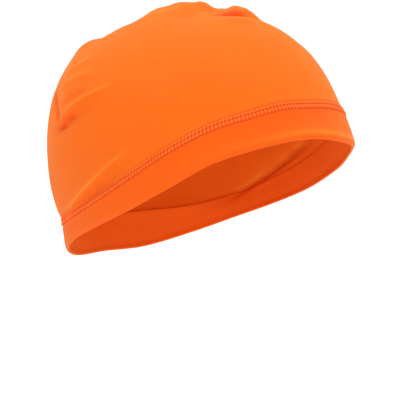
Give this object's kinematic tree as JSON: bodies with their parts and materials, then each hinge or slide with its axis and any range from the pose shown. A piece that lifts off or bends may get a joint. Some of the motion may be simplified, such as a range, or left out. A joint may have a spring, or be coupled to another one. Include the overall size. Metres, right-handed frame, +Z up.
{
  "type": "peakless stretch cycling cap",
  "caption": "Close-fitting jersey skull cap without a peak, with a deep turned hem band under a cover-stitch seam, shown as it is worn, high at the brow and low at the nape.",
  "frame": {"origin": "inside of the crown at its very top, where the top of the head carries the cap", "axes": "+Z up, the wearer looks along -Y, the wearer's left is +X"},
  "size_m": [0.1558, 0.1871, 0.1576],
  "materials": {
    "crown_jersey": "fine stretch jersey with a soft satin sheen",
    "band_jersey": "fine stretch jersey turned up as a double layer",
    "thread": "fine textured sewing thread"
  },
  "bodies": {
    "root": {"crown": "crown_jersey", "hem_band": "band_jersey"}
  },
  "joints": []
}
